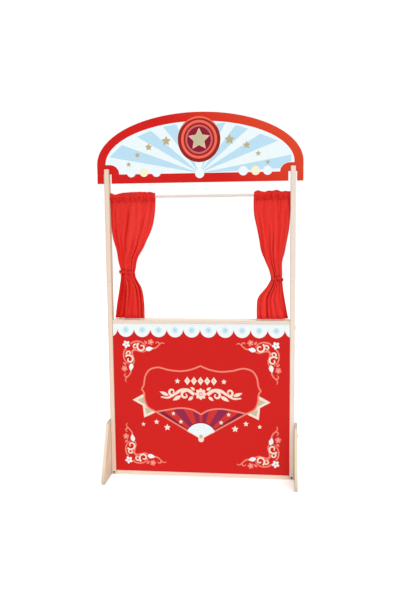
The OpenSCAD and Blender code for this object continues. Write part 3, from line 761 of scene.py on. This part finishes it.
curtainLeft = {
    "name": "gathered_curtain_left",
    "node": "curtain_left", "tie": "tieback_left", "body": "left_curtain",
    "clothWidth": 182, "clothLength": 467, "folds": 4, "phase": 0.9, "seed": 4,
    # height above the ground, and the cloth's edge there
    "outerEdge": [(534.8, -286.5), (578, -280), (642, -268), (675, -262), (694, -262), (721, -268.5),
                  (760, -275), (793, -284), (825, -289), (860, -290.2), (948, -290.2)],
    "innerEdge": [(534.8, -184), (585, -185), (635, -193), (676, -213.5), (694, -212.5), (734, -204),
                  (766, -185), (790, -174), (814, -162), (840, -152.5), (870, -146.5), (904, -142.5),
                  (948, -142)],
    # long folds: place across the cloth at the seam and at the tie, width, depth and lowest height
    "longFolds": [(0.42, 0.30, 10, 6.0, 670), (0.41, 0.29, 2.8, 2.6, 700), (0.31, 0.21, 4, 2.2, 800),
                  (0.57, 0.50, 4, 1.6, 800), (0.67, 0.60, 3.5, 1.5, 850), (0.79, 0.72, 4, 1.7, 800),
                  (0.09, 0.12, 8, 4.0, 720), (0.9, 0.86, 4, 1.4, 820)],
    # folds below the tie: place at the tie and at the hem, width, depth
    "lowFolds": [(0.18, 0.08, 8, 6.0), (0.36, 0.27, 7, 7.0), (0.50, 0.41, 4, 4.0), (0.74, 0.70, 8, 3.0),
                 (0.88, 0.90, 4, 2.0)],
    "tuck": (0.5, 14), "knotRise": 1.0,
    # spots of painted shade, and of painted light where the change is below 0: place across, height, both
    # spans, change of the red
    "paintedShades": [(0, 740, 0.26, 90, 0.4), (0, 640, 0.3, 60, 0.5), (0.1, 560, 0.5, 75, 0.6),
               (1, 690, 0.16, 50, 0.5), (0.64, 830, 0.24, 80, -0.3), (0.3, 850, 0.1, 70, 0.15)],
    # top edge of the frill along the cloth
    "frillTop": [(0, 942.5), (0.04, 943), (0.09, 938.5), (0.15, 940), (0.25, 943.5), (0.42, 945.5),
                 (0.62, 946.5), (0.8, 945.5), (0.93, 944.5), (1, 941.5)],
}
curtainRight = {
    "name": "gathered_curtain_right",
    "node": "curtain_right", "tie": "tieback_right", "body": "right_curtain",
    "clothWidth": 153, "clothLength": 465, "folds": 4, "phase": 2.6, "seed": 9,
    "outerEdge": [(535, 285), (578, 277), (623, 269.5), (661, 265.5), (685, 265), (719, 265), (750, 273),
                  (777, 278), (829, 287), (880, 290.2), (948, 290.2)],
    "innerEdge": [(535, 184), (570, 184), (603, 188), (642, 218), (661, 227.5), (684, 226), (719, 212.5),
                  (755, 198), (790, 192), (830, 184), (865, 176.5), (919, 174.5), (948, 176.5)],
    "longFolds": [(0.27, 0.36, 7, 4.0, 700), (0.55, 0.60, 5, 2.8, 800), (0.74, 0.80, 5, 2.2, 760),
                  (0.86, 0.90, 4, 2.0, 700), (0.13, 0.16, 5, 2.2, 760), (0.42, 0.48, 3, 1.6, 720)],
    "lowFolds": [(0.20, 0.12, 6, 6.0), (0.42, 0.36, 4, 1.6), (0.64, 0.68, 6, 2.6), (0.84, 0.88, 6, 3.0)],
    "tuck": (0.25, 15), "knotRise": -4.5,
    # spots of painted shade, and of painted light where the change is below 0
    "paintedShades": [(1, 750, 0.17, 80, 0.45), (1, 640, 0.14, 50, 0.3), (0, 670, 0.2, 70, 0.55),
               (0, 560, 0.2, 60, 0.4), (0.45, 760, 0.22, 90, -0.2), (0.4, 640, 0.3, 60, -0.15)],
    "frillTop": [(0, 941), (0.15, 941.5), (0.28, 941.5), (0.36, 945.5), (0.47, 944), (0.6, 943.5),
                 (0.72, 940.5), (0.8, 941.5), (0.9, 945), (0.96, 943), (1, 939)],
}
gather = {
    "seamBelowRod": 17, "stitchAboveRod": 5.6, "tailEnd": 6,
    "layerGap": 0.5, "pocketBulge": 7.2,
    "pocketSlack": 3,       # extra cloth that the bulge of the pocket takes up
    "columns": 300, "dropRows": 190,
    # height, and half the depth of the broad folds there
    "depth": [(532, 3.4), (580, 3.4), (640, 4.2), (690, 3.8), (740, 3.6), (800, 2.4), (860, 1.5), (915, 1.2),
              (948, 1.2)],
    # waves across the cloth that make folds uneven in place and in depth, and that draw seams up and down:
    # height, turns, share of the curtain's phase, and rise that shifts the wave by one radian
    "drift": [(0.36, 1.1, 1, math.inf), (0.18, 2.3, 2, 110), (0.07, 4.1, 0, -60)],
    "swell": [(0.3, 1.7, 1, 160), (0.2, 2.9, 0, -90)],
    "waver": [(0.9, 3.3, 1, math.inf), (0.7, 7.1, 0, math.inf)],
    # scattered creases: how many, and ranges of width, depth and length
    "seamCreases": (15, (2.0, 4.2), (1.0, 2.6), (10, 60)),
    "tieCreases": (14, (3.5, 7), (0.9, 2.4), (25, 110)),
    "pocketCreases": (19, (1.6, 3.6), (1.0, 3.0), (10, 20)),
    "frillCreases": (14, (2.5, 6), (1.6, 4.0), (10, 20)),
    "reach": 40,            # distance over which cloth gets free below the seam, or is drawn in at the tie
    "fade": 60,             # distance over which folds start and end
    "lowStart": 8,          # distance below the tie at which the low folds begin
    "waistForward": 6, "hemForward": 3,
    "bulge": 3.2, "bulgeAt": 13, "bulgeSpan": 9,    # fullness just above and below the tie
    "edgeRoll": (0.035, 5),     # share of the width over which each edge rolls back, and how far
    "pinch": 1.8, "pinchSpan": 7,
    "push": (0.07, 0.25),   # how far folds lean over each other, everywhere and more at the tie
    # painted shade in the red: how deep it is on flat cloth, how much deeper in a hollow of 1 mm and where
    # the cloth is double
    "flatShade": 0.35, "hollowShade": 0.15, "pocketShade": 0.42, "frillShade": 0.1, "hemShade": 0.4,
    "hollowSpan": 30, "sideHems": (10, 6), "hem": 11,
    "crumple": 0.26, "crumpleWaves": 14, "crumpleSpans": (16, 70),
}


def edges(c, z):
    return [hermite(*np.transpose(c[edge]), z) for edge in ("outerEdge", "innerEdge")]


def waves(c, u, z, parts):
    return sum(high * np.sin(tau * turns * u + share * c["phase"] + z / rise)
               for high, turns, share, rise in parts)


def crumple(c, u, z):
    # small dents of handled cotton: a sum of short waves that run mostly up and down the cloth
    dice = np.random.default_rng(c["seed"])
    short, long = gather["crumpleSpans"]
    total = 0
    for _ in range(gather["crumpleWaves"]):
        span = short * (long / short) ** dice.random()
        lean, start = 0.2 * dice.standard_normal(), tau * dice.random()
        total = total + span / long * 2 * np.sin(tau / span * (u * c["clothWidth"] + lean * z) + start)
    return gather["crumple"] * total


def creases(c, kind, salt, u, away):
    # Scattered creases, spread evenly with some chance: each is a bell across the cloth, inwards or outwards,
    # that fades out over its own length as away, the distance from where they start, grows.
    dice = np.random.default_rng(c["seed"] + 100 * salt)
    count, *ranges = gather[kind]
    width, depth, length = (dice.uniform(*ends, count) for ends in ranges)
    place = (np.arange(count) + 0.5 + 0.9 * (dice.random(count) - 0.5)) / count
    depth = depth * np.where(dice.random(count) < 0.6, 1, -0.7)
    total = 0
    for k in range(count):
        bell = np.exp(-((u - place[k]) * c["clothWidth"] / width[k]) ** 2)
        total = total + depth[k] * bell * np.exp(-(away / length[k]) ** 1.6)
    return total


def foldedCloth(c, u, z, tieZ, seamZ):
    # Place of the cloth's points u (0 at the post, 1 at the free side) at heights z, both as arrays.
    # y is a cosine of broad uneven folds whose depth follows the gather, with long folds and scattered
    # creases. x runs from edge to edge. Near the tie the cloth fills an ellipse, and below it the post's side
    # tucks back.
    nearTie = np.exp(-((z - tieZ) / gather["reach"]) ** 2)
    fromSeam = np.clip(seamZ - z, 0, None)
    loose = np.clip(fromSeam / gather["reach"], 0, 1)
    below = np.clip((tieZ - gather["lowStart"] - z) / gather["fade"], 0, 1)
    angle = tau * (c["folds"] * u + waves(c, u, z, gather["drift"]))
    depthZ, depthY = np.transpose(gather["depth"])
    y = hermite(depthZ, depthY, z) * (0.8 + waves(c, u, z, gather["swell"])) * np.cos(angle)

    def fold(top, foot, span, downward, sway, period):
        # bell across the cloth at a place that moves from top to foot, with a little sway on its way
        place = top + (foot - top) * downward + sway * np.sin(z / period + 9 * top)
        return np.exp(-((u - place) * c["clothWidth"] / span) ** 2)

    downward = np.clip((seamZ - z) / (seamZ - tieZ), 0, 1)
    for top, foot, span, deep, lowest in c["longFolds"]:
        bell = fold(top, foot, span, downward, 0.008, 37)
        y = y + deep * loose * np.clip((z - lowest) / gather["fade"], 0, 1) * bell
    downward = np.clip((tieZ - z) / (tieZ - c["outerEdge"][0][0]), 0, 1)
    for top, foot, span, deep in c["lowFolds"]:
        y = y + deep * below * fold(top, foot, span, downward, 0.01, 31)
    roundness = np.sqrt(np.clip(1 - (2 * u - 1) ** 2, 0, 1))
    y = y * (1 - nearTie + nearTie * (0.3 + 0.7 * roundness)) - gather["waistForward"] * nearTie * roundness
    fromBulge = (np.abs(z - tieZ) - gather["bulgeAt"]) / gather["bulgeSpan"]
    y = y - gather["bulge"] * roundness * np.exp(-fromBulge ** 2)
    y = y + (1 - 0.6 * nearTie) * crumple(c, u, z) * (0.4 + 0.6 * loose)
    y = y + creases(c, "seamCreases", 1, u, fromSeam)
    y = y + creases(c, "tieCreases", 2, u, np.clip(z - tieZ, 0, None)) * (z >= tieZ)
    y = y + creases(c, "tieCreases", 3, u, np.clip(tieZ - z, 0, None)) * (z < tieZ)
    tuckWidth, tuckDepth = c["tuck"]
    y = y + tuckDepth * below * np.clip(1 - u / tuckWidth, 0, 1) ** 1.6 - gather["hemForward"] * below
    rollWidth, rollDepth = gather["edgeRoll"]
    fromEdge = np.minimum(u, 1 - u)
    y = y + rollDepth * np.clip(1 - fromEdge / rollWidth, 0, 1) ** 2 * loose
    lean, leanAtTie = gather["push"]
    push = lean + leanAtTie * nearTie
    across = u + push / (tau * c["folds"]) * np.sin(2 * angle) * np.clip(6 * fromEdge, 0, 1)
    outer, inner = edges(c, z)
    pinch = gather["pinch"] * np.exp(-((z - tieZ) / gather["pinchSpan"]) ** 2) * np.sign(inner - outer)
    outer, inner = outer + pinch, inner - pinch
    return outer + (inner - outer) * across, y


def curtainPoints(c):
    # Rows of points up the cloth: from the hem to the seam, over the rod as a pocket, up into the frill,
    # over its top edge, and down behind the rod to the seam again.
    tieZ = np.mean(boxOf(c["tie"]), axis=0)[2]
    hemZ = c["outerEdge"][0][0]
    seamZ, stitchZ = rodZ - gather["seamBelowRod"], rodZ + gather["stitchAboveRod"]
    u = np.linspace(0, 1, gather["columns"])[None, :]
    gap = gather["layerGap"]
    waver = waves(c, u, 0, gather["waver"])

    z = np.linspace(hemZ, seamZ, gather["dropRows"])[:, None]
    x, y = foldedCloth(c, u, z, tieZ, seamZ)
    drop = grid(x, y - gap, z + waver * np.clip(1 - (seamZ - z) / gather["reach"], 0, 1))
    seamX, seamY = foldedCloth(c, u, np.array([[seamZ]]), tieZ, seamZ)
    topX, _ = foldedCloth(c, u, np.array([[stitchZ]]), tieZ, seamZ)
    here = np.zeros((1, 1))
    ruffle = creases(c, "frillCreases", 4, u, here)
    frontRidges, backRidges = (creases(c, "pocketCreases", salt, u, here) for salt in (5, 6))
    stitchY = 0.3 * ruffle
    frillTop = hermite(*np.transpose(c["frillTop"]), u) + 0.25 * ruffle

    def pocket(side, t):
        # one wall of the pocket: side is -1 in front of the rod and 1 behind it, t runs from seam to stitches
        ridges = frontRidges if side < 0 else -backRidges
        bulge = np.sin(math.pi * t ** 2.1) ** 0.8 * gather["pocketBulge"]
        bulge = bulge + ridges * side * np.sin(math.pi * t) ** 0.5
        y = (side * (gap + bulge) + seamY * np.clip(1 - 1.8 * t, 0, 1) ** 1.5
             + stitchY * np.clip(6 * t - 5, 0, 1))
        return grid(seamX + (topX - seamX) * t, y, seamZ + (stitchZ - seamZ) * t + waver * (1 - 0.7 * t))

    def frill(side, t):
        # one layer of the frill above the stitches
        start = stitchZ + 0.3 * waver
        x = topX + 0.4 * ruffle * t * np.clip(8 * u, 0, 1) * np.clip(8 - 8 * u, 0, 1)
        return grid(x, side * gap + stitchY + 0.9 * ruffle * t ** 0.8, start + (frillTop - start) * t)

    steps = np.linspace(0, 1, 21)[1:, None]
    rise = np.linspace(0, 1, 9)[:, None]
    crest = frill(0, rise[-1:])
    crest[..., 2] += gap
    tail = np.linspace(0, 1, 4)[:, None]
    front = np.vstack([drop, pocket(-1, steps), frill(-1, rise[1:])])
    back = np.vstack([crest, frill(1, rise[::-1]), pocket(1, steps[::-1][1:]),
                      grid(seamX, seamY + gap + 0.3 * tail, seamZ + waver - gather["tailEnd"] * tail)])
    return front, back


def paintedShadeDepth(c, front, back):
    # Painted shade in the cloth's red. Hollows are where the cloth lies behind its own average across a short
    # span, and the red is deeper there. The pocket, the frill and the hems are double, and their red is
    # deeper too. The listed spots deepen it further, or lighten it as painted light where their change is
    # below 0.
    deep = []
    for rows, side in ((front, 1), (back, -1)):
        reach = int(gather["hollowSpan"] / c["clothWidth"] * rows.shape[1] / 2)
        padded = np.pad(rows[..., 1], ((0, 0), (reach + 1, reach)), "edge").cumsum(axis=1)
        average = (padded[:, 2 * reach + 1:] - padded[:, :-2 * reach - 1]) / (2 * reach + 1)
        deep.append(gather["flatShade"] + gather["hollowShade"] * side * (rows[..., 1] - average))
    z = np.vstack([front, back])[..., 2]
    u = np.linspace(0, c["clothWidth"], z.shape[1])[None, :]
    postHem, freeHem = gather["sideHems"]
    hem = (u < postHem) | (u > c["clothWidth"] - freeHem) | (z < c["outerEdge"][0][0] + gather["hem"])
    paintedShades = [(hem, "hemShade"), (z > rodZ - gather["seamBelowRod"] + 1, "pocketShade"),
              (z > rodZ + gather["stitchAboveRod"], "frillShade")]
    double = np.zeros(z.shape)
    for where, shade in paintedShades:
        double[where] = gather[shade]
    for place, height, width, span, shade in c["paintedShades"]:
        spot = ((u / c["clothWidth"] - place) / width) ** 2 + ((z - height) / span) ** 2
        double = double + shade * np.exp(-spot)
    return np.clip(np.vstack(deep) + double, 0, 1)


def clothPiece(name, c, rows, flat, material, deep, closed=False):
    # rows: a grid of points. flat: where its points lie on the flat cloth, across and along.
    piece = meshPiece(name, rows.reshape(-1, 3), gridFaces(*rows.shape[:2]), [material],
                      uv=grid(*flat).reshape(-1, 2), deep=deep)
    if closed:
        weld(piece)
    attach(piece, c["body"])
    return piece


def makeCurtain(c):
    front, back = curtainPoints(c)
    rows = np.vstack([front, back])
    step = np.linalg.norm(np.diff(rows, axis=0), axis=2).mean(axis=1)
    along = np.r_[0, np.cumsum(step)]
    across = np.linspace(0, c["clothWidth"], rows.shape[1])
    drop = along[gather["dropRows"] - 1]
    upper = drop + gather["seamBelowRod"] + gather["stitchAboveRod"] + gather["pocketSlack"]
    material = redCotton("dyed cotton " + c["body"], (gather["hem"], drop, upper))
    piece = clothPiece(c["name"], c, rows, (across[None, :], along[:, None]), material,
                       paintedShadeDepth(c, front, back))
    thicken(piece, cloth["thickness"])
    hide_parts(c["node"])
    print(c["name"], "length of cloth", round(float(along[-1])), "mm")
    return piece


tieback = {
    "halfHeight": 3.8, "halfDepth": 10.6, "inset": 1.4, "y": -1.5, "thickness": 0.9,
    "slope": 1.6,           # how much higher than its middle the band sits at the post's side
    "knotRadii": (3.8, 4.8, 6.0), "knotOut": 0.8, "knotY": -5.5,
    # how far forward each tail leans, and its length
    "tails": [(1.5, 13), (-2.0, 10)], "tailY": -9.5, "tailThickness": 0.7,
}


def makeTieback(c):
    # Band of the same cloth round the gathered waist: an ellipse of cloth pulled into small upright wrinkles,
    # sunk between the folds, with a knot and two short tails against the outer side.
    tieZ = np.mean(boxOf(c["tie"]), axis=0)[2]
    halfHeight, deepest = tieback["halfHeight"], tieback["halfDepth"]
    outer, inner = (float(x) for x in edges(c, tieZ))
    side = math.copysign(1, outer)
    widest = abs(inner - outer) / 2 - tieback["inset"]
    a = np.linspace(0, tau, 181)[None, :]
    w = np.linspace(-1, 1, 17)[:, None]
    wrinkle = 0.7 * np.cos(11 * a + 1.5 * w) + 0.5 * np.sin(19 * a - 2 * w + c["phase"]) + 0.5 * np.sin(5 * a)
    spread = 0.6 - 1.1 * (1 - w ** 2) + wrinkle * (0.6 + 0.4 * w ** 2)
    z = (tieZ + (halfHeight + 0.7 * np.sin(5 * a) + 0.5 * np.sin(9 * a)) * w
         + tieback["slope"] * side * np.cos(a))
    rows = grid((outer + inner) / 2 + (widest + spread) * np.cos(a),
                tieback["y"] + (deepest + spread) * np.sin(a), z)
    # girth of an ellipse: pi (3 (p + q) - sqrt((3 p + q) (p + 3 q))) for the half axes p and q
    girth = math.pi * (3 * (widest + deepest) - math.sqrt((3 * widest + deepest) * (widest + 3 * deepest)))
    material = redCotton("dyed cotton band " + c["body"], ())
    # painted shade in the band's red: deeper in the hollows of its wrinkles and towards its upper and lower
    # edges
    band = clothPiece("band_" + c["body"], c, rows, (a / tau * girth, halfHeight * (w + 1)), material,
                      0.55 - 0.25 * wrinkle + 0.2 * w ** 2, closed=True)
    thicken(band, tieback["thickness"])
    # knot: a ball of cloth with creases that wind round it
    lat = np.linspace(-math.pi / 2, math.pi / 2, 41)[:, None]
    lon = np.linspace(0, tau, 81)[None, :]
    crease = 1 - 0.2 * np.abs(np.sin(1.5 * lon + 2.2 * lat)) * np.cos(lat) ** 0.5
    knotX, knotZ = outer + side * tieback["knotOut"], tieZ + c["knotRise"]
    radiusX, radiusY, radiusZ = tieback["knotRadii"]
    rows = grid(knotX + radiusX * crease * np.cos(lat) * np.cos(lon),
                tieback["knotY"] + radiusY * crease * np.cos(lat) * np.sin(lon),
                knotZ + radiusZ * crease * np.sin(lat))
    # painted shade in the knot's red, deeper in its creases
    pieces = [clothPiece("knot_" + c["body"], c, rows, (lon * 5, lat * 6), material, 0.3 + 3 * (1 - crease),
                         closed=True)]
    # tails: short strips that hang from the knot and curl a little across their width
    t = np.linspace(0, 1, 25)[:, None]
    s = np.linspace(-1, 1, 9)[None, :]
    width = 1.6 + 1.8 * np.sin(0.5 * math.pi * np.clip(3 * t, 0, 1))
    for k, (lean, length) in enumerate(tieback["tails"]):
        rows = grid(knotX - side * (2.0 + 4.5 * t) + side * 0.8 * np.cos(1.4 * s),
                    tieback["tailY"] + lean * t + width * s, knotZ - 3 - length * t + 0.6 * s)
        # painted shade in the tail's red, deeper towards its long edges further down
        tail = clothPiece(f"tail{k + 1}_" + c["body"], c, rows, (s * 4.5, t * length), material,
                          0.4 + 0.2 * t * s ** 2)
        thicken(tail, tieback["tailThickness"])
        pieces.append(tail)
    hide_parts(c["tie"])
    return band, pieces, girth


for c in (curtainLeft, curtainRight):
    piece = makeCurtain(c)
    band, knotted, girth = makeTieback(c)
print("curtains hung")


# Studio: pale floor, soft daylight from all sides and a broad key light from the front right

studio = {
    "floorSize": 16000,
    "floorColour": "#f4f4f4",
    "floorGlow": 0.3,       # light from below the floor's white acrylic
    "fillStrength": 0.62,
    "keyStrength": 1.6,
    "keySoftness": 40,
    "keyTurn": (32, 0, 26),
}

half = studio["floorSize"] / 2
# Opal acrylic sheet lit from below: an even matt white in which shadows stay faint
floorSheet = newMaterial("opal acrylic sheet", {
    "Base Color": studio["floorColour"], "Roughness": 0.9, "Specular IOR Level": 0.1,
    "Emission Color": (1, 1, 1, 1), "Emission Strength": studio["floorGlow"]})[0]
floor = meshPiece("studio_floor", [(-half, -half, 0), (half, -half, 0), (half, half, 0), (-half, half, 0)],
                  [(0, 1, 2, 3)], [floorSheet], smooth=False)

keyData = bpy.data.lights.new("key", "SUN")
keyData.energy = studio["keyStrength"]
keyData.angle = math.radians(studio["keySoftness"])
key = bpy.data.objects.new("key", keyData)
key.rotation_euler = [math.radians(a) for a in studio["keyTurn"]]
bpy.context.scene.collection.objects.link(key)

world = bpy.data.worlds.new("studio")
bpy.context.scene.world = world
world.use_nodes = True
world.node_tree.nodes.clear()
fill, backdrop = (addNode(world.node_tree, "Background", {"Color": (1, 1, 1, 1), "Strength": strength})
                  for strength in (studio["fillStrength"], 1.0))
seen = addNode(world.node_tree, "LightPath", {}, out="Is Camera Ray")
mixed = addNode(world.node_tree, "MixShader", {0: seen, 1: fill, 2: backdrop})
addNode(world.node_tree, "OutputWorld", {"Surface": mixed}, out=None)
bpy.context.scene.view_settings.view_transform = "Standard"
print("studio lit")
